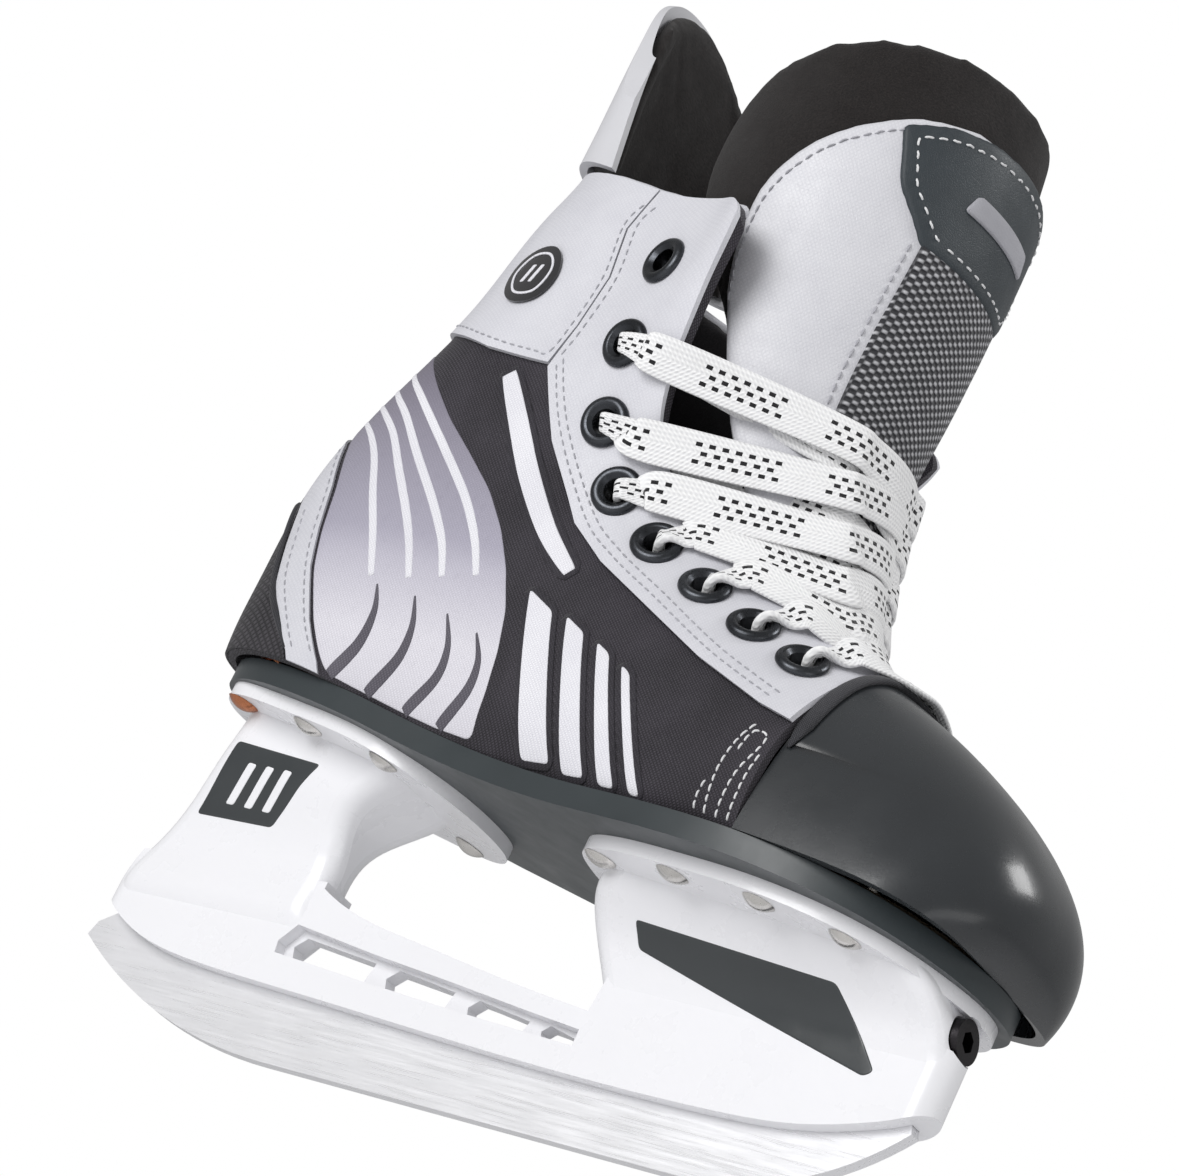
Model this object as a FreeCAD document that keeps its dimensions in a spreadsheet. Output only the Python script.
import FreeCAD, Part
import math
import os
from FreeCAD import Vector

# Youth ice-hockey skate, right foot.
# Frame: +X towards the toe, +Y towards the inner (medial) side, +Z up.
# Origin: middle of the runner's flat, on the ice.

doc = FreeCAD.newDocument("ice_skate")
sheet = doc.addObject("Spreadsheet::Sheet", "sizes")

SIZES = [
    ("runner_rear", 103.0, "heel tip of the steel, behind the origin"),
    ("runner_front", 104.0, "toe tip of the steel, ahead of the origin"),
    ("runner_thick", 3.0, "steel thickness"),
    ("flat_rear", 45.0, "flat of the steel, behind the origin"),
    ("flat_front", 60.0, "flat of the steel, ahead of the origin"),
    ("heel_radius", 108.0, "radius of the steel behind its flat"),
    ("toe_radius", 60.0, "radius of the steel ahead of its flat"),
    ("tang_top", 29.0, "top of the two tangs"),
    ("web_top", 18.5, "top of the steel between the tangs"),
    ("slot_clear", 0.05, "gap on each side of the steel in its slot"),
    ("rail_width", 9.6, "width of the plastic rail that grips the steel"),
    ("flange_thick", 3.0, "thickness of the holder's sole plates"),
    ("sole_thick", 5.0, "thickness of the outsole"),
    ("board_thick", 2.0, "thickness of the insole board"),
    ("footbed_thick", 3.5, "thickness of the foam footbed"),
    ("shell_thick", 2.0, "thickness of the quarter"),
    ("overlay_thick", 1.2, "thickness of the stitched overlays"),
    ("layer_gap", 0.15, "gap between stacked layers"),
    ("pad_thick", 4.5, "thickness of the ankle padding"),
    ("cap_thick", 2.4, "thickness of the toe cap"),
    ("rivet_head", 3.5, "radius of a rivet head"),
    ("rivet_shank", 1.7, "radius of a rivet shank"),
    ("bolt_radius", 2.5, "radius of a runner bolt"),
    ("eyelet_flange", 5.4, "outer radius of an eyelet"),
    ("eyelet_bore", 2.7, "radius of the hole in an eyelet"),
    ("eyelet_wall", 0.5, "wall of an eyelet barrel"),
    ("lace_width", 8.0, "width of the flat lace"),
    ("lace_thick", 1.1, "thickness of the flat lace"),
    ("toe_shift", 2.0, "how far the toe leans to the inner side"),
]
for row, (alias, value, note) in enumerate(SIZES, start=1):
    sheet.set("A%d" % row, note)
    sheet.set("B%d" % row, str(value))
    sheet.setAlias("B%d" % row, alias)
doc.recompute()


def size(alias):
    return float(sheet.get(alias))


PARTS = []


def add_shape(label, shape):
    """A sub-part whose form no feature covers."""
    obj = doc.addObject("Part::Feature", label)
    obj.Label = label
    obj.Shape = shape
    obj.Placement = FreeCAD.Placement()
    PARTS.append(obj)
    return obj


def plane_of(body, role):
    return [f for f in body.Origin.OriginFeatures if f.Role == role][0]


def add_sketch(body, name, role="XZ_Plane"):
    sketch = body.newObject("Sketcher::SketchObject", name)
    sketch.AttachmentSupport = [(plane_of(body, role), "")]
    sketch.MapMode = "FlatFace"
    return sketch


# ---------------------------------------------------------------- helpers

def spline_edge(points):
    curve = Part.BSplineCurve()
    curve.interpolate(points)
    return curve.toShape()


def xz_points(pairs, y=0.0):
    return [Vector(x, y, z) for x, z in pairs]


def side_prism(pairs, y0, y1):
    """Solid between y0 and y1 with a polygonal outline in the side view."""
    pts = xz_points(pairs, y0)
    wire = Part.makePolygon(pts + [pts[0]])
    return Part.Face(wire).extrude(Vector(0, y1 - y0, 0))


def smooth_prism(pairs, y0, y1):
    """Solid between y0 and y1 with a smooth closed outline in the side view."""
    curve = Part.BSplineCurve()
    curve.interpolate(xz_points(pairs, y0), PeriodicFlag=True)
    return Part.Face(Part.Wire(curve.toShape())).extrude(Vector(0, y1 - y0, 0))


def interpolate_pairs(pairs, x):
    """Smooth value at x through (x, value) pairs (monotone cubic)."""
    xs = [p[0] for p in pairs]
    vs = [p[1] for p in pairs]
    if x <= xs[0]:
        return vs[0]
    if x >= xs[-1]:
        return vs[-1]
    i = max(k for k in range(len(xs) - 1) if xs[k] <= x)
    slopes = [(vs[k + 1] - vs[k]) / (xs[k + 1] - xs[k]) for k in range(len(xs) - 1)]

    def tangent(k):
        if k == 0:
            return slopes[0]
        if k == len(xs) - 1:
            return slopes[-1]
        a, b = slopes[k - 1], slopes[k]
        return 0.0 if a * b <= 0 else 2 * a * b / (a + b)

    step = xs[i + 1] - xs[i]
    t = (x - xs[i]) / step
    return (vs[i] * (2 * t ** 3 - 3 * t ** 2 + 1) + vs[i + 1] * (3 * t ** 2 - 2 * t ** 3)
            + tangent(i) * step * (t ** 3 - 2 * t ** 2 + t)
            + tangent(i + 1) * step * (t ** 3 - t ** 2))


def grid_face(rows):
    surface = Part.BSplineSurface()
    surface.interpolate(rows)
    return surface.toShape()


def thick_sheet(outer_rows, inner_rows):
    """Closed solid between two grids of points of the same size."""
    outer, inner = grid_face(outer_rows), grid_face(inner_rows)
    faces = [outer, inner]
    left = list(outer.Edges)
    for edge in left:
        mid = edge.valueAt((edge.FirstParameter + edge.LastParameter) / 2)
        mate = min(inner.Edges, key=lambda e: e.valueAt(
            (e.FirstParameter + e.LastParameter) / 2).distanceToPoint(mid))
        faces.append(Part.makeRuledSurface(edge, mate, 1))
    shell = Part.Shell(faces)
    shell.sewShape()
    solid = Part.Solid(Part.Shell(shell.Faces))
    if solid.Volume < 0:
        solid.reverse()
    return solid


def biggest(shape):
    """The largest solid of a boolean result, as one solid."""
    return sorted(shape.Solids, key=lambda s: s.Volume)[-1]


def trimmed(shape, *tools):
    for tool in tools:
        shape = shape.common(tool)
    return shape


def ahead_of(x):
    return Part.makeBox(200, 200, 400, Vector(x, -100, -20))


def behind(x):
    return Part.makeBox(400, 200, 400, Vector(x - 400, -100, -20))


# ---------------------------------------------------------------- sole line

SOLE_LINE = [(-101, 74.5), (-72, 71), (-47, 67), (-26, 62.7), (-2, 58.3), (20, 55.2),
             (45, 53), (68, 51.3), (90, 49.3), (106, 46.8), (122, 43.0)]
SOLE_HALF = [(-92, 0), (-90.8, 8), (-86, 16), (-75, 22.8), (-59, 26), (-40, 26.8), (-18, 27),
             (8, 30), (34, 35), (56, 37.0), (73, 34.8), (88, 28.8), (99, 20.5), (105.8, 11), (108, 0)]


def sole_z(x):
    return interpolate_pairs(SOLE_LINE, x)


def toe_lean(x):
    """The outline's sideways lean towards the inner side of the foot."""
    t = min(max((x - 10.0) / 110.0, 0.0), 1.0)
    return size("toe_shift") * t * t * (3 - 2 * t)


def sole_band(low, high, inset=0.0):
    """The foot outline between two heights over the sole line."""
    xs = [-101 + 4.46 * k for k in range(51)]
    bottom = spline_edge([Vector(x, -60, sole_z(x) + low) for x in xs])
    top = spline_edge([Vector(x, -60, sole_z(x) + high) for x in xs])
    sides = [Part.makeLine(Vector(x, -60, sole_z(x) + low), Vector(x, -60, sole_z(x) + high))
             for x in (xs[0], xs[-1])]
    side = Part.Face(Part.Wire(Part.__sortEdges__([bottom, top] + sides)))
    band = side.extrude(Vector(0, 120, 0))
    long_scale, wide_scale = 1.0 - inset / 108.0, 1.0 - inset / 33.0
    outline = []
    for x, half in SOLE_HALF:
        outline.append(Vector(10 + (x - 10) * long_scale, toe_lean(x) + half * wide_scale, 0))
    for x, half in reversed(SOLE_HALF[1:-1]):
        outline.append(Vector(10 + (x - 10) * long_scale, toe_lean(x) - half * wide_scale, 0))
    curve = Part.BSplineCurve()
    curve.interpolate(outline, PeriodicFlag=True)
    column = Part.Face(Part.Wire(curve.toShape())).extrude(Vector(0, 0, 140))
    return biggest(band.common(column))


def above_sole(clear):
    """Everything over the outsole's top face, for trimming the upper."""
    xs = [-112 + 5 * k for k in range(50)]
    base = size("sole_thick") + clear
    low = spline_edge([Vector(x, -70, sole_z(x) + base) for x in xs])
    a = Vector(xs[0], -70, sole_z(xs[0]) + base)
    b = Vector(xs[-1], -70, sole_z(xs[-1]) + base)
    c, d = Vector(b.x, -70, 300), Vector(a.x, -70, 300)
    face = Part.Face(Part.Wire([low, Part.makeLine(b, c), Part.makeLine(c, d),
                                Part.makeLine(d, a)]))
    return face.extrude(Vector(0, 140, 0))


# ---------------------------------------------------------------- boot surface

# Each station is a line in the side view from the lacing edge (front) to the sole or the
# heel (back): front x, front z, back x, back z, half gap at the lacing edge, half width in
# the middle, half width low down, where the middle is, and how square the far end is.
STATIONS = [
    (66, 102.5, 70, 52, 10.5, 36.5, 36.0, 0.75, 5.0),
    (58, 105.5, 59, 53, 11.5, 36.8, 36.2, 0.72, 5.0),
    (44, 111, 41, 54, 14, 36.3, 34.5, 0.66, 5.0),
    (31, 116, 21, 55, 17, 35.5, 31.5, 0.60, 5.0),
    (18, 121.5, 0, 58, 21, 34.5, 29.0, 0.56, 5.0),
    (9, 127.5, -26, 61, 25.5, 33.5, 27.6, 0.52, 5.0),
    (4, 135, -52, 64, 30.5, 33.0, 27.2, 0.50, 4.6),
    (2.5, 143, -76, 60, 34.5, 33.0, 27.0, 0.50, 4.0),
    (3, 151, -90.5, 68, 37.5, 33.3, 27.5, 0.52, 3.0),
    (4.5, 159, -94, 90, 40.5, 34.0, 29.0, 0.54, 2.6),
    (6, 167, -92.5, 112.5, 43, 34.5, 31.0, 0.54, 2.5),
    (8, 174, -83, 136, 45.5, 35.0, 32.0, 0.52, 2.5),
    (9.5, 182, -71.5, 161, 47.5, 35.5, 32.5, 0.50, 2.5),
    (10, 192, -64.8, 186, 48.5, 35.0, 32.0, 0.48, 2.5),
    (10, 204, -63, 206, 49, 34.5, 31.0, 0.46, 2.5),
]
NEAR_STEPS, FAR_STEPS = 5, 9


def half_section(station):
    """(fraction from the lacing edge, half width) down one side of a station."""
    gap, mid, low, fm, square = station[4:]
    out = []
    for k in range(NEAR_STEPS):
        f = fm * k / NEAR_STEPS
        out.append((f, mid + (gap - mid) * ((fm - f) / fm) ** 2.1))
    for k in range(FAR_STEPS + 1):
        t = math.pi / 2 * k / FAR_STEPS
        g = math.sin(t) ** (2.0 / square)
        width = mid + (low - mid) * g ** 1.5
        out.append((fm + (1 - fm) * g, width * max(math.cos(t), 0.0) ** (2.0 / square)))
    return out


def station_row(station, offset):
    """Points round one station, offset outwards in its own plane."""
    fx, fz, bx, bz = station[:4]
    front, back = Vector(fx, 0, fz), Vector(bx, 0, bz)
    along = back - front
    length = along.Length
    along.normalize()
    half = half_section(station)
    flat = [(f * length, -w) for f, w in half] + [(f * length, w) for f, w in reversed(half[:-1])]
    row = []
    for k, (s, y) in enumerate(flat):
        s0, y0 = flat[max(k - 1, 0)]
        s1, y1 = flat[min(k + 1, len(flat) - 1)]
        ds, dy = s1 - s0, y1 - y0
        norm = math.hypot(ds, dy)
        s, y = s + offset * dy / norm, y - offset * ds / norm
        p = front + along * s
        row.append(Vector(p.x, y + toe_lean(p.x), p.z))
    return row


def boot_rows(offset):
    return [station_row(s, offset) for s in STATIONS]


def boot_layer(inner, outer):
    """The boot's wall between two offsets from the quarter's outer face."""
    return thick_sheet(boot_rows(outer), boot_rows(inner))


# Toe box: arches that turn about a line under the ball of the foot.
TOE_PIVOT = (46.0, 24.0)
TOE_LINE = [(47, 109), (57, 106), (68, 101.6), (79, 96.4), (89.5, 90.6), (99.5, 83.6), (107.6, 75.8),
            (112.6, 67.8), (113.6, 60.3), (109.8, 53), (102, 45.5)]
TOE_HALF = 38.0
TOE_SQUARE = 2.75
TOE_STEPS = 9


def toe_rows(offset):
    px, pz = TOE_PIVOT
    rows = []
    for x, z in TOE_LINE:
        reach = math.hypot(x - px, z - pz) + offset
        ux, uz = (x - px) / (reach - offset), (z - pz) / (reach - offset)
        row = []
        for k in range(-TOE_STEPS, TOE_STEPS + 1):
            t = math.pi / 2 * 0.97 * k / TOE_STEPS
            y = (TOE_HALF + offset) * math.copysign(abs(math.sin(t)) ** (2 / TOE_SQUARE), t)
            r = reach * math.cos(t) ** (2 / TOE_SQUARE)
            p = Vector(px + ux * r, 0, pz + uz * r)
            row.append(Vector(p.x, y + toe_lean(p.x), p.z))
        rows.append(row)
    return rows


def toe_layer(inner, outer):
    return thick_sheet(toe_rows(outer), toe_rows(inner))


def half_space(side, clear=0.0):
    """A box on the outer (-1) or inner (+1) side of the foot."""
    y0 = clear if side > 0 else -80 - clear
    return Part.makeBox(300, 80, 320, Vector(-150, y0, -5))


# ---------------------------------------------------------------- steel runner

def make_runner():
    body = doc.addObject("PartDesign::Body", "runner_blade")
    body.Label = "runner_blade"
    sketch = add_sketch(body, "runner_profile")
    rear, front = size("runner_rear"), size("runner_front")
    heel_r, toe_r = size("heel_radius"), size("toe_radius")
    flat_r, flat_f = size("flat_rear"), size("flat_front")

    def arc_z(radius, run):
        return radius - math.sqrt(radius ** 2 - run ** 2)

    heel_z, toe_z = arc_z(heel_r, rear - flat_r), arc_z(toe_r, front - flat_f)
    heel_m, toe_m = arc_z(heel_r, (rear - flat_r) / 2), arc_z(toe_r, (front - flat_f) / 2)
    web, tang = size("web_top"), size("tang_top")
    a, b = Vector(-rear, heel_z, 0), Vector(-flat_r, 0, 0)
    c, d = Vector(flat_f, 0, 0), Vector(front, toe_z, 0)
    geometry = [
        Part.Arc(a, Vector(-(rear + flat_r) / 2, heel_m, 0), b),
        Part.LineSegment(b, c),
        Part.Arc(c, Vector((front + flat_f) / 2, toe_m, 0), d),
    ]
    top = [d, Vector(front - 1.5, toe_z + 3.5, 0), Vector(front - 8, tang, 0),
           Vector(front - 24, tang, 0), Vector(front - 30, web, 0),
           Vector(-rear + 40, web, 0), Vector(-rear + 34, tang, 0),
           Vector(-rear + 14, tang, 0), Vector(-rear + 1.2, heel_z + 3.2, 0), a]
    for p, q in zip(top, top[1:]):
        geometry.append(Part.LineSegment(p, q))
    sketch.addGeometry(geometry, False)
    pad = body.newObject("PartDesign::Pad", "runner_pad")
    pad.Profile = sketch
    pad.Midplane = True
    pad.setExpression("Length", "sizes.runner_thick")
    doc.recompute()
    PARTS.append(body)
    return body


# ---------------------------------------------------------------- blade holder

RAIL_LOW = [(-101, 26), (-96, 22.4), (-86, 18.2), (-72, 16), (-50, 15), (-20, 14), (10, 13),
            (40, 12.6), (64, 13), (82, 14.6), (95, 17.8), (103, 20.8), (107.5, 23.5)]
BEAM_TOP = [(-47, 37.5), (-38, 34.2), (-18, 31), (4, 28.2), (27, 26)]
WINDOWS = [(-50, -28.5, 22.5, 27.4), (-24.5, -7, 20.8, 25.6), (-2.5, 13, 19.6, 23.6),
           (16.5, 26, 19.0, 22.2)]


def tower(levels):
    """Loft of rounded boxes: (z, rear x, front x, half width, corner radius)."""
    wires = []
    for z_rear, z_front, rear, front, half, radius in levels:
        def at(x, y):
            t = (x - rear) / (front - rear)
            return Vector(x, y, z_rear + (z_front - z_rear) * t)
        r = radius
        k = r * (1 - math.sqrt(0.5))
        corners = [(rear, -half, 1, 1), (front, -half, -1, 1), (front, half, -1, -1),
                   (rear, half, 1, -1)]
        edges, previous = [], None
        starts = []
        for n, (cx, cy, sx, sy) in enumerate(corners):
            along_x = at(cx + sx * r, cy)
            along_y = at(cx, cy + sy * r)
            middle = at(cx + sx * k, cy + sy * k)
            first, last = (along_y, along_x) if n % 2 == 0 else (along_x, along_y)
            starts.append((first, middle, last))
        for n, (first, middle, last) in enumerate(starts):
            curve = Part.BSplineCurve()
            curve.interpolate([first, middle, last])
            edges.append(curve.toShape())
            edges.append(Part.makeLine(last, starts[(n + 1) % 4][0]))
        wires.append(Part.Wire(edges))
    return Part.makeLoft(wires, True, False)


def flange(outline):
    """A sole plate: a smooth plan outline between two heights under the sole line."""
    thick = size("flange_thick")
    band = sole_band_full(-thick, -0.02)
    curve = Part.BSplineCurve()
    curve.interpolate([Vector(x, y, 0) for x, y in outline], PeriodicFlag=True)
    column = Part.Face(Part.Wire(curve.toShape())).extrude(Vector(0, 0, 140))
    return biggest(band.common(column))


def sole_band_full(low, high):
    xs = [-104 + 4.6 * k for k in range(50)]
    bottom = spline_edge([Vector(x, -60, sole_z(x) + low) for x in xs])
    top = spline_edge([Vector(x, -60, sole_z(x) + high) for x in xs])
    sides = [Part.makeLine(Vector(x, -60, sole_z(x) + low), Vector(x, -60, sole_z(x) + high))
             for x in (xs[0], xs[-1])]
    face = Part.Face(Part.Wire(Part.__sortEdges__([bottom, top] + sides)))
    return face.extrude(Vector(0, 120, 0))


REAR_FLANGE = [(-88, 0), (-87.5, -11), (-81, -18.8), (-67, -21.5), (-50, -23), (-35, -22), (-25, -16.5),
               (-20, -9), (-18.5, 0), (-20, 9), (-25, 16.5), (-35, 22), (-50, 23), (-67, 21.5),
               (-81, 18.8), (-87.5, 11)]
FRONT_FLANGE = [(15, 1), (16.5, -10), (21, -20), (31, -25.5), (47, -28), (63, -28.5), (78, -26),
                (91, -20), (101, -10.5), (106, 1.5), (102.5, 13.5), (92.5, 23), (79, 28.5), (63, 31),
                (47, 29.5), (31, 26), (21, 20.5), (16.5, 11)]
REAR_RIVETS = [(-59, -17.6), (-59, 17.6), (-36, -18), (-36, 18)]
FRONT_RIVETS = [(25, -18.8), (25, 19.8), (46, -23.6), (46, 25.2), (67, -23.6), (67, 26.0),
                (85, -18.8), (85, 21.8)]
COPPER_RIVETS = [(-79.8, -15.7), (-79.8, 15.7)]


def rivet_axis(x):
    """Unit normal of the sole line at x, pointing up."""
    slope = (sole_z(x + 1) - sole_z(x - 1)) / 2
    n = Vector(-slope, 0, 1)
    n.normalize()
    return n


def rivet_hole(x, y, radius, low=-6.0, high=12.0):
    axis = rivet_axis(x)
    start = Vector(x, y, sole_z(x)) + axis * low
    return Part.makeCylinder(radius, high - low, start, axis)


def make_holder():
    half = size("rail_width") / 2
    low = spline_edge(xz_points(RAIL_LOW, -half))
    last = RAIL_LOW[-1]
    top = [last, (107.5, 36), (28, 36), BEAM_TOP[-1]]
    edges = [low]
    for p, q in zip(top, top[1:]):
        edges.append(Part.makeLine(Vector(p[0], -half, p[1]), Vector(q[0], -half, q[1])))
    edges.append(spline_edge(xz_points(list(reversed(BEAM_TOP)), -half)))
    rear_top = [BEAM_TOP[0], (-47, 39), (-96.5, 37), RAIL_LOW[0]]
    for p, q in zip(rear_top, rear_top[1:]):
        edges.append(Part.makeLine(Vector(p[0], -half, p[1]), Vector(q[0], -half, q[1])))
    rail = Part.Face(Part.Wire(edges)).extrude(Vector(0, 2 * half, 0))
    # Both ends of the rail are rounded off in plan.
    plan = Part.makeBox(300, 2 * half, 60, Vector(-101 + half, -half, 0))
    plan = plan.common(behind(107.5 - half))
    for x in (-101 + half, 107.5 - half):
        plan = plan.fuse(Part.makeCylinder(half, 60, Vector(x, 0, 0)))
    rail = rail.common(plan)

    rear = tower([
        (27, 28, -99.6, -46.5, half - 0.05, 4.6),
        (39, 40, -96.0, -47.5, 5.4, 4.6),
        (50, 49, -90.5, -47.5, 7.4, 4.6),
        (59, 55.5, -86.0, -44.5, 11.0, 5.0),
        (66, 60.5, -83.6, -38.5, 12.6, 6.0),
        (71.2, 65.2, -83.0, -34.5, 13.6, 7.0),
    ])
    front = tower([
        (28, 28, 27.5, 107.3, half - 0.05, 4.6),
        (34, 34, 24.5, 106.8, 5.2, 4.6),
        (40, 38.5, 21.5, 105.2, 7.6, 4.8),
        (46, 43, 19.5, 103.5, 12.0, 6.5),
        (50, 46, 19.5, 102.0, 15.2, 8.5),
        (53.4, 47.2, 20.5, 101.0, 16.4, 9.5),
    ])
    shape = rail.fuse([rear, front, flange(REAR_FLANGE), flange(FRONT_FLANGE)])
    clip = sole_band_full(-70, -0.02)
    shape = biggest(shape.common(clip)).removeSplitter()

    slot_half = size("runner_thick") / 2 + size("slot_clear")
    wire = RUNNER.Shape.slice(Vector(0, 1, 0), 0)[0]
    grown = Part.Face(wire).makeOffset2D(0.15)
    slot = grown.extrude(Vector(0, 2 * slot_half, 0))
    slot.translate(Vector(0, -slot_half, 0))
    cutters = [slot]
    for x0, x1, z0, z1 in WINDOWS:
        nose = (z1 - z0) / 2
        pairs = [(x0 + nose * 0.4, z0), (x1 - 1, z0 - (x1 - x0) * 0.05), (x1, z1 - 1.6),
                 (x0 + nose, z1), (x0, (z0 + z1) / 2)]
        cutters.append(side_prism(pairs, -10, 10))
    # Thin web: the rail is hollowed on both sides between the bridge and the grip.
    for side in (-1, 1):
        hollow = [(-51.5, 21.9), (-52, 24.5), (-49, 28.8), (-28, 26.6), (-6, 24.8), (13.5, 23.0),
                  (27, 21.9), (27, 18.4), (0, 19.2), (-26, 20.4)]
        y0, y1 = (-12, -1.75) if side < 0 else (1.75, 12)
        cutters.append(side_prism(hollow, y0, y1))
    for x, y in REAR_RIVETS + FRONT_RIVETS + COPPER_RIVETS:
        cutters.append(rivet_hole(x, y, size("rivet_shank") + 0.1))
    cutters += [BOLT_BORES[0], BOLT_BORES[1]]
    shape = shape.cut(cutters)
    return add_shape("blade_holder", biggest(shape))


# ---------------------------------------------------------------- bolts

FRONT_BOLT = (Vector(103.0, 0, 39.0), Vector(-1, 0, -0.16))
REAR_BOLT = (Vector(-74.5, 0, 66.0), Vector(0, 0, -1))


def bolt_bore(seat, direction, head_deep, long):
    axis = Vector(direction)
    axis.normalize()
    wide = Part.makeCylinder(size("bolt_radius") + 2.3, 30, seat - axis * (30 - head_deep), axis)
    slim = Part.makeCylinder(size("bolt_radius") + 0.1, long + 0.5, seat, axis)
    return wide.fuse(slim)


BOLT_BORES = [bolt_bore(FRONT_BOLT[0], FRONT_BOLT[1], 1.0, 16),
              bolt_bore(REAR_BOLT[0], REAR_BOLT[1], 4.2, 34.5)]


def make_bolt(label, seat, direction, long, head_high):
    """Hex-socket bolt as a turned body with a pocketed drive."""
    body = doc.addObject("PartDesign::Body", label)
    body.Label = label
    shank = add_sketch(body, label + "_shank", "XY_Plane")
    shank.addGeometry(Part.Circle(Vector(0, 0, 0), Vector(0, 0, 1), size("bolt_radius")), False)
    pad = body.newObject("PartDesign::Pad", label + "_shank_pad")
    pad.Profile = shank
    pad.Length = long
    head = add_sketch(body, label + "_head", "XY_Plane")
    head.addGeometry(Part.Circle(Vector(0, 0, 0), Vector(0, 0, 1), size("bolt_radius") + 1.9), False)
    cap = body.newObject("PartDesign::Pad", label + "_head_pad")
    cap.Profile = head
    cap.Length = head_high
    cap.Reversed = True
    doc.recompute()
    drive = add_sketch(body, label + "_drive", "XY_Plane")
    drive.AttachmentOffset = FreeCAD.Placement(Vector(0, 0, -head_high), FreeCAD.Rotation())
    hexagon = [Vector(2.2 * math.cos(math.pi / 3 * k), 2.2 * math.sin(math.pi / 3 * k), 0)
               for k in range(7)]
    drive.addGeometry([Part.LineSegment(p, q) for p, q in zip(hexagon, hexagon[1:])], False)
    pocket = body.newObject("PartDesign::Pocket", label + "_drive_pocket")
    pocket.Profile = drive
    pocket.Length = 2.4
    pocket.Reversed = True
    doc.recompute()
    solid_before = math.pi * ((size("bolt_radius") + 1.9) ** 2 * head_high
                              + size("bolt_radius") ** 2 * long)
    if body.Shape.Volume > solid_before - 20:
        raise RuntimeError(label + ": the hexagon drive was not cut")
    axis = Vector(direction)
    axis.normalize()
    body.Placement = FreeCAD.Placement(seat, FreeCAD.Rotation(Vector(0, 0, 1), axis))
    PARTS.append(body)
    return body


# ---------------------------------------------------------------- sole pieces

def add_rivets(label, spots):
    solids = []
    head, shank = size("rivet_head"), size("rivet_shank")
    top = size("sole_thick") + size("board_thick") + 0.35
    bottom = -size("flange_thick") - 0.05
    for x, y in spots:
        axis = rivet_axis(x)
        seat = Vector(x, y, sole_z(x))
        dome = 1.5
        ball = (head ** 2 + dome ** 2) / (2 * dome)
        profile = [Vector(0, 0, bottom - dome), Vector(head, 0, bottom)]
        angle = math.asin(head / ball) / 2
        middle = Vector(ball * math.sin(angle), 0, bottom - dome + ball * (1 - math.cos(angle)))
        wire = Part.Wire([
            Part.Arc(profile[0], middle, profile[1]).toShape(),
            Part.makeLine(profile[1], Vector(shank, 0, bottom)),
            Part.makeLine(Vector(shank, 0, bottom), Vector(shank, 0, top)),
            Part.makeLine(Vector(shank, 0, top), Vector(shank + 1.1, 0, top)),
            Part.makeLine(Vector(shank + 1.1, 0, top), Vector(shank + 0.7, 0, top + 0.7)),
            Part.makeLine(Vector(shank + 0.7, 0, top + 0.7), Vector(0, 0, top + 0.7)),
            Part.makeLine(Vector(0, 0, top + 0.7), profile[0])])
        rivet = Part.Face(wire).revolve(Vector(0, 0, 0), Vector(0, 0, 1), 360)
        rivet.Placement = FreeCAD.Placement(seat, FreeCAD.Rotation(Vector(0, 0, 1), axis))
        solids.append(rivet)
    return add_shape(label, Part.Compound(solids))


RUNNER = make_runner()
HOLDER = make_holder()
make_bolt("front_runner_bolt", FRONT_BOLT[0], FRONT_BOLT[1], 16, 3.2)
make_bolt("rear_runner_bolt", REAR_BOLT[0], REAR_BOLT[1], 34, 3.8)
add_rivets("rear_rivets", REAR_RIVETS)
add_rivets("front_rivets", FRONT_RIVETS)
add_rivets("copper_rivets", COPPER_RIVETS)

gap = size("layer_gap")
holes = [rivet_hole(x, y, size("rivet_shank") + 0.1)
         for x, y in REAR_RIVETS + FRONT_RIVETS + COPPER_RIVETS]

outsole = sole_band(0.0, size("sole_thick"))
add_shape("outsole", biggest(outsole.cut(holes)))
board_low = size("sole_thick") + 0.05
board = sole_band(board_low, board_low + size("board_thick"), inset=6.0)
add_shape("insole_board", biggest(board.cut(holes)))
bed_low = board_low + size("board_thick") + 1.3
add_shape("footbed", sole_band(bed_low, bed_low + size("footbed_thick"), inset=9.5))


# ---------------------------------------------------------------- upper

OVER_SOLE = above_sole(0.1)
CAP_REAR = 63.0

# Top edge of the quarters, from the lacing corner back round the ankle.
COLLAR = [(60, 150), (40, 165), (22, 172), (9.6, 172.5), (9.8, 178), (7.5, 182.8), (1, 185.6),
          (-16, 189), (-40, 194.5), (-58, 199.5), (-74, 203.5), (-90, 207)]


def below_collar(drop):
    top = [Vector(x, -80, z - drop) for x, z in COLLAR]
    edges = [spline_edge(top[:3]), spline_edge(top[3:])]
    edges.insert(1, Part.makeLine(top[2], top[3]))
    corner_a, corner_b = Vector(-125, -80, 10), Vector(100, -80, 10)
    edges.append(Part.makeLine(top[-1], Vector(-125, -80, top[-1].z)))
    edges.append(Part.makeLine(Vector(-125, -80, top[-1].z), corner_a))
    edges.append(Part.makeLine(corner_a, corner_b))
    edges.append(Part.makeLine(corner_b, Vector(100, -80, top[0].z)))
    edges.append(Part.makeLine(Vector(100, -80, top[0].z), top[0]))
    return Part.Face(Part.Wire(edges)).extrude(Vector(0, 160, 0))


BELOW_COLLAR = below_collar(0.0)
SIDES = ((-1, "lateral"), (1, "medial"))

shell = size("shell_thick")
overlay_low, overlay_high = gap, gap + size("overlay_thick")

cap = toe_layer(-size("cap_thick"), 0.5)
cap = trimmed(cap, ahead_of(CAP_REAR), OVER_SOLE)
add_shape("toe_cap", biggest(cap))

quarter = trimmed(boot_layer(-shell, 0.0), behind(CAP_REAR - 0.3), OVER_SOLE, BELOW_COLLAR)


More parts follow.
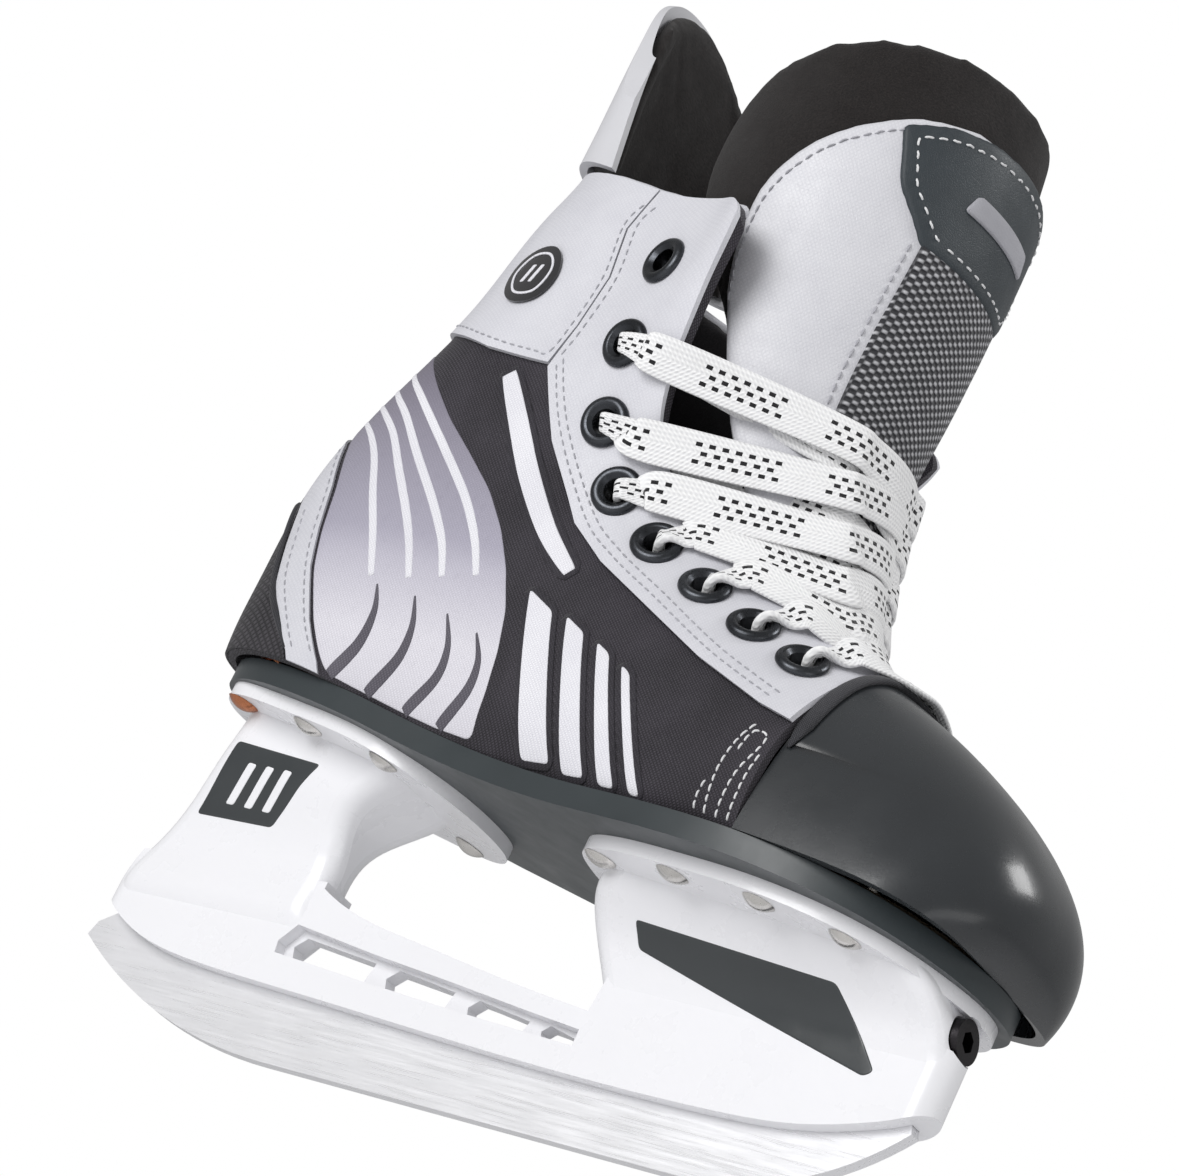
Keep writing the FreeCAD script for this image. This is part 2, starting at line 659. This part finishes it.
# Eyelets: rows of eight up each lacing edge, as (x, z) in the side view.
EYELETS = [(53.7, 97), (40.2, 102), (26, 108), (11.7, 114.6), (-0.8, 123), (-8.2, 135.8),
           (-9.8, 152.3), (-9.2, 171.5)]
OUTER_ROWS = boot_rows(overlay_high)
OUTER_FACE = grid_face(OUTER_ROWS)


def eyelet_spot(x, z, side):
    """Point and outward normal of the facing at a side-view position."""
    line = Part.makeLine(Vector(x, 0, z), Vector(x, side * 90, z))
    hits = line.section(OUTER_FACE).Vertexes
    point = max((v.Point for v in hits), key=lambda p: abs(p.y))
    surface = OUTER_FACE.Surface
    u, v = surface.parameter(point)
    normal = surface.normal(u, v)
    if normal.y * side < 0:
        normal = normal * -1
    return point, normal


SPOTS = {side: [eyelet_spot(x, z, side) for x, z in EYELETS] for side, _ in SIDES}


def eyelet_holes(side, clear):
    radius = size("eyelet_bore") + size("eyelet_wall") + clear
    return [Part.makeCylinder(radius, 20, p - n * 10, n) for p, n in SPOTS[side]]


def eyelet_seats(side):
    """Space the flanges press out of the facing."""
    return [Part.makeCylinder(size("eyelet_flange") + 0.1, 3, p + n * 0.12, n)
            for p, n in SPOTS[side]]


def make_eyelets(label, side):
    bore, wall = size("eyelet_bore"), size("eyelet_wall")
    flange_r = size("eyelet_flange")
    depth = size("overlay_thick") + shell + 2 * gap + 0.9
    out = []
    for point, normal in SPOTS[side]:
        lip = 0.15
        pts = [Vector(bore, 0, -depth), Vector(bore + wall + 0.9, 0, -depth),
               Vector(bore + wall, 0, -depth + 0.8), Vector(bore + wall, 0, lip),
               Vector(flange_r, 0, lip), Vector(flange_r, 0, lip + 0.35),
               Vector(bore + 0.9, 0, lip + 1.25), Vector(bore, 0, lip + 0.5)]
        edges = [Part.makeLine(pts[k], pts[k + 1]) for k in range(5)]
        edges.append(Part.Arc(pts[5], Vector((flange_r + bore) / 2 + 0.7, 0, lip + 1.2),
                              pts[6]).toShape())
        edges.append(Part.makeLine(pts[6], pts[7]))
        edges.append(Part.makeLine(pts[7], pts[0]))
        ring = Part.Face(Part.Wire(edges)).revolve(Vector(0, 0, 0), Vector(0, 0, 1), 360)
        ring.Placement = FreeCAD.Placement(point, FreeCAD.Rotation(Vector(0, 0, 1), normal))
        out.append(ring)
    return add_shape(label, Part.Compound(out))


# Side-view outlines of the stitched overlays.
FACING_LINE = [(90, 72), (73, 79), (55, 83.5), (37, 90.5), (18, 100), (4, 107), (-6, 114), (-19, 130),
               (-28, 146), (-25, 156), (-23, 168), (-25, 180), (-21, 194)]
FACING = FACING_LINE + [(-21, 215), (60, 215), (110, 150)]
ANKLE = [(-21.6, 215), (-21.6, 194), (-25.5, 180), (-23.5, 168), (-25.5, 156), (-28.5, 147),
         (-33, 147.5), (-46, 149), (-58, 152.5), (-72, 158), (-110, 166), (-110, 230), (-40, 230)]
HEEL_TRIM = [(-60, 70), (-63.5, 76.5), (-69, 83), (-75, 91), (-79, 101), (-81.5, 109), (-85, 116),
             (-90, 121), (-99, 124.5), (-130, 126), (-130, 138), (-95, 137), (-84, 132.5), (-76, 125),
             (-71.5, 114), (-69, 104), (-66, 95), (-60, 83.5), (-54.5, 75.5), (-52, 70)]
HEEL_PATCH = [(-130, 70), (-60.7, 70), (-64.2, 76.7), (-69.7, 83.3), (-75.7, 91.2), (-79.7, 101.1),
              (-82.2, 109.3), (-85.6, 115.5), (-90.4, 120.3), (-99.2, 123.8), (-130, 125.3)]

facing_layer = trimmed(boot_layer(overlay_low, overlay_high), behind(CAP_REAR - 0.3), OVER_SOLE,
                       BELOW_COLLAR)
thin_layer = trimmed(boot_layer(overlay_low, 0.75), OVER_SOLE, BELOW_COLLAR)
badge_layer = boot_layer(overlay_high + 0.1, overlay_high + 0.8)

for side, name in SIDES:
    half = half_space(side, 0.12)
    eye = eyelet_holes(side, 0.05)
    pressed = eye + eyelet_seats(side)
    add_shape("quarter_" + name, biggest(quarter.common(half).cut(eye)))
    facing = facing_layer.common(side_prism(FACING, -70, 70)).common(half)
    add_shape("facing_" + name, biggest(facing.cut(pressed)))
    ankle = facing_layer.common(side_prism(ANKLE, -70, 70)).common(half)
    add_shape("ankle_overlay_" + name, biggest(ankle))
    badge = smooth_prism([(-50.5, 167), (-46.5, 173), (-40, 173.5), (-36.5, 168), (-39.5, 161), (-47, 160.5)],
                         -70, 70)
    add_shape("ankle_badge_" + name, biggest(badge_layer.common(badge).common(half)))
    trim = thin_layer.common(side_prism(HEEL_TRIM, -70, 70)).common(half)
    add_shape("heel_trim_" + name, biggest(trim))
    make_eyelets("eyelets_" + name, side)
add_shape("heel_patch", biggest(thin_layer.common(side_prism(HEEL_PATCH, -70, 70))))

# Foam ankle padding, inside the quarters from the sole to the collar.
pad_outer, pad_inner = -shell - 0.3, -shell - 0.3 - size("pad_thick")
padding = trimmed(boot_layer(pad_inner, pad_outer), above_sole(7.3), below_collar(-0.6))
PAD_OUTLINE = [(-27, 230), (-27, 180), (-22, 150), (-28, 130), (-40, 112), (-50, 92), (-54, 60),
               (-130, 60), (-130, 230)]
padding = padding.common(side_prism(PAD_OUTLINE, -70, 70))
for side, name in SIDES:
    add_shape("ankle_padding_" + name, biggest(padding.common(half_space(side, 0.15))))


# ---------------------------------------------------------------- tendon guard

# (x of the front edge, z there, x of the back, z there, half width)
GUARD = [(-45, 199.5, -63.6, 203.6, 27), (-47, 208, -63.2, 211, 26.4), (-49, 217, -63, 219.5, 25.8),
         (-51, 227, -63, 228.5, 25), (-53, 237, -63.6, 238, 23.5), (-54.5, 246, -64.6, 246.5, 22),
         (-55.5, 255, -66, 255, 20.5)]


def guard_rows(offset):
    rows = []
    for fx, fz, bx, bz, half in GUARD:
        row = []
        for k in range(-8, 9):
            t = math.pi / 2 * k / 8
            y = (half + offset) * math.copysign(abs(math.sin(t)) ** 0.85, t)
            run = math.cos(t) ** 0.8
            x = fx + (bx - offset - fx) * run
            z = fz + (bz - fz) * run
            row.append(Vector(x, y, z))
        rows.append(row)
    return rows


def guard_outline(inset):
    """Rear view of the guard: a tab with a rounded top."""
    top = 254.0 - inset
    pts = [Vector(-100, -40, 190), Vector(-100, -40, 213), Vector(-100, -27 + inset, 216),
           Vector(-100, -23.0 + inset, 232), Vector(-100, -17.5 + inset, 246),
           Vector(-100, -8, top - 0.6), Vector(-100, 8, top - 0.6),
           Vector(-100, 17.5 - inset, 246), Vector(-100, 23.0 - inset, 232),
           Vector(-100, 27 - inset, 216), Vector(-100, 40, 213), Vector(-100, 40, 190)]
    top_curve = spline_edge(pts[2:10])
    edges = [Part.makeLine(pts[0], pts[1]), Part.makeLine(pts[1], pts[2]), top_curve,
             Part.makeLine(pts[9], pts[10]), Part.makeLine(pts[10], pts[11]),
             Part.makeLine(pts[11], pts[0])]
    return Part.Face(Part.Wire(edges)).extrude(Vector(90, 0, 0))


guard = thick_sheet(guard_rows(0.6), guard_rows(-1.2)).common(guard_outline(0.0))
add_shape("tendon_guard", biggest(guard))
guard_pad = thick_sheet(guard_rows(-1.4), guard_rows(-5.0)).common(guard_outline(1.6))
add_shape("tendon_guard_lining", biggest(guard_pad))


# ---------------------------------------------------------------- tongue

# Front centre line of the tongue and its arch: x, z, arch radius, half angle (degrees).
TONGUE = [(61, 101, 13.5, 52), (53, 106.5, 14, 56), (46.5, 112.5, 15.5, 60), (42, 120, 18, 64),
          (38.5, 129, 21, 68), (35.5, 139, 24.5, 72), (33.5, 150, 28, 78), (33, 162, 31, 84),
          (33.5, 175, 33, 92), (34, 190, 34, 98), (34.2, 205, 34.5, 104), (34, 219, 34.5, 112),
          (33, 231, 34, 116), (32, 242, 33.5, 116)]
TONGUE_SPLIT = (36.0, 157.0)


def tongue_normal(k):
    x0, z0 = TONGUE[max(k - 1, 0)][:2]
    x1, z1 = TONGUE[min(k + 1, len(TONGUE) - 1)][:2]
    n = Vector(z1 - z0, 0, x0 - x1)
    n.normalize()
    return n


def tongue_point(k, turn, depth):
    """Point on the arch of row k (may be fractional) at an angle from the front."""
    i = min(int(k), len(TONGUE) - 2)
    f = k - i
    x, z, radius = [TONGUE[i][c] * (1 - f) + TONGUE[i + 1][c] * f for c in range(3)]
    n = tongue_normal(i) * (1 - f) + tongue_normal(i + 1) * f
    n.normalize()
    out = n * math.cos(turn) + Vector(0, math.sin(turn), 0)
    p = Vector(x, 0, z) - n * radius + out * (radius - depth)
    return Vector(p.x, p.y + toe_lean(p.x), p.z), out


# How much further round than the shell the felt turns, row by row (degrees).
FELT_WRAP = [0, 0, 0, 0, 0, 0, 0, 3, 12, 28, 34, 24, 8, 0]


def tongue_slab(front, back, wrap=(0,) * len(TONGUE)):
    grids = []
    for depth in (front, back):
        grids.append([[tongue_point(k, math.radians(row[3] + wrap[k]) * j / 9, depth)[0]
                       for j in range(-9, 10)] for k, row in enumerate(TONGUE)])
    return thick_sheet(*grids)


# Side-view outlines: the felt shows past the white shell as a rim, over and behind it.
FELT_SIDE = [(80, 80), (80, 241), (34, 241), (24, 240.5), (11, 238), (-3, 233.8), (-16, 227),
             (-24, 217), (-25, 203), (-19, 186), (-9, 166), (0, 148), (6, 136), (14, 122),
             (26, 108), (44, 92), (56, 80)]
SHELL_SIDE = [(80, 80), (80, 226.5), (32, 226.5), (25, 223), (17, 217), (9, 210.5), (3, 203.5),
              (-1, 194), (-0.5, 180), (3, 166), (6.5, 152), (11, 140), (19, 128), (30, 113),
              (44, 98), (58, 88)]


def split_half(up):
    """Everything above or below the tongue's flex line; the cut opens to the rear."""
    tilt = -6.0 if up else 0.0
    box = Part.makeBox(300, 200, 300, Vector(-200, -100, 0.2 if up else -300.2))
    x, z = TONGUE_SPLIT
    box.Placement = FreeCAD.Placement(Vector(x, 0, z),
                                      FreeCAD.Rotation(Vector(0, 1, 0), -tilt))
    return box


# The tongue and the laces stay this far inside the quarters' outer face.
ROOM = 4.2
keep_clear = boot_layer(-ROOM, 2.5)
felt = tongue_slab(1.6, 8.6, FELT_WRAP).common(side_prism(FELT_SIDE, -70, 70))
skin = tongue_slab(0.0, 1.4).common(side_prism(SHELL_SIDE, -70, 70))
for label, body in (("tongue_felt", felt), ("tongue_shell", skin)):
    add_shape(label + "_upper", biggest(body.common(split_half(True))))
    lower = body.common(split_half(False)).cut(keep_clear)
    add_shape(label + "_lower", biggest(lower.cut(toe_layer(-3.4, 2.0))))


# ---------------------------------------------------------------- laces

def wall_point(x, z, side, offset):
    """Point and outward normal on the boot wall at a side-view position."""
    face = WALLS[offset]
    line = Part.makeLine(Vector(x, 0, z), Vector(x, side * 90, z))
    hits = line.section(face).Vertexes
    point = max((v.Point for v in hits), key=lambda p: abs(p.y))
    u, v = face.Surface.parameter(point)
    normal = face.Surface.normal(u, v)
    return point, normal * (1 if normal.y * side > 0 else -1)


LACE_OUT, LACE_IN = 3.5, -3.1
WALLS = {LACE_OUT: grid_face(boot_rows(LACE_OUT)), LACE_IN: grid_face(boot_rows(LACE_IN))}


def ribbon(path):
    """Flat band through (point, outward, width, thickness) frames, in straight lengths."""
    wires = []
    for k, (p, out, wide, thick) in enumerate(path):
        ahead = path[min(k + 1, len(path) - 1)][0] - path[max(k - 1, 0)][0]
        across = ahead.cross(out)
        across.normalize()
        out = across.cross(ahead)
        out.normalize()
        corners = [p + across * (wide * a) + out * (thick * b)
                   for a, b in ((0.5, 0.5), (-0.5, 0.5), (-0.5, -0.5), (0.5, -0.5))]
        wires.append(Part.makePolygon(corners + corners[:1]))
    return Part.makeLoft(wires, True, True)


# Where the laces cross the lacing edge beside each eyelet, and the tongue row there.
LACE_EDGE = [(58.5, 104), (45.5, 108.8), (32.5, 114), (19.8, 119.5), (10, 125.8), (4.2, 134.5),
             (3.6, 150.5)]
LACE_ROW = [0.35, 1.05, 2.0, 2.95, 3.9, 4.9, 6.05]


def out_of_eyelet(row, side):
    """Frames of a lace from inside an eyelet to the lacing edge beside it."""
    wide, thick = size("lace_width"), size("lace_thick")
    p, n = SPOTS[side][row]
    back = Vector(-1, 0, -0.3)
    path = [(p - n * 4.2, back, 3.2, 1.5), (p + n * 1.2, back, 3.2, 1.5)]
    (ex, ez), (sx, sz) = LACE_EDGE[row], EYELETS[row]
    for t, width in ((0.30, 0.58), (0.55, 0.85), (0.92, 1.0)):
        point, out = wall_point(sx + (ex - sx) * t, sz + (ez - sz) * t, side, LACE_OUT)
        path.append((point, out, wide * width, thick))
    return path


def strand(start, end, side, crest):
    """One crossing: out of an eyelet, over the tongue, under the other lacing edge."""
    wide, thick = size("lace_width"), size("lace_thick")
    path = out_of_eyelet(start, side)
    a, b = LACE_ROW[start], LACE_ROW[end]
    for t in (0.18, 0.34, 0.5, 0.66, 0.82):
        turn = math.radians(52) * (2 * t - 1) * -side
        lift = 3.6 + (0.9 - 3.6) * t + crest * (1 - abs(2 * t - 1))
        point, out = tongue_point(a + (b - a) * t, turn, -lift - thick / 2)
        path.append((point, out, wide, thick))
    (ex, ez), (sx, sz) = LACE_EDGE[end], EYELETS[end]
    for t, width in ((0.85, 0.95), (0.45, 0.9)):
        point, out = wall_point(sx + (ex - sx) * t, sz + (ez - sz) * t, -side, LACE_IN)
        path.append((point, out, wide * width, thick))
    return ribbon(path)


def bar(row):
    """The lowest lace run, out of one front eyelet and straight into the other."""
    wide, thick = size("lace_width"), size("lace_thick")
    middle = [(tongue_point(row, math.radians(a), -6.2)[0], Vector(0.35, 0, 1), wide, thick)
              for a in (-22, 0, 22)]
    return ribbon(out_of_eyelet(0, -1) + middle + out_of_eyelet(0, 1)[::-1])


# Runs that come out of the eyelets of one side; each goes under the lacing edge opposite.
LACE_RUNS = {side: [strand(k, k + 1, side, -side * 0.75) for k in range(1, 6)]
             for side, _ in SIDES}
LACE_RUNS[-1].insert(0, bar(0.1))
for side, name in SIDES:
    # The free ends cross once more and are tucked under the top of the other edge.
    LACE_RUNS[side].append(strand(6, 6, side, -side * 0.75))
    for run in LACE_RUNS[side]:
        if not run.isValid() or run.Volume < 150:
            raise RuntimeError("a lace run is not a sound solid")
    add_shape("laces_" + name, Part.Compound(LACE_RUNS[side]))

doc.recompute()
for obj in doc.Objects:
    for word in ("Invalid", "Error"):
        if word in obj.State:
            raise RuntimeError("%s is %s" % (obj.Label, obj.State))
os.makedirs("parts", exist_ok=True)
for obj in PARTS:
    if obj.Shape.isNull() or not obj.Shape.isValid():
        raise RuntimeError("bad shape: " + obj.Label)
    obj.Shape.exportStep("parts/%s.step" % obj.Label)
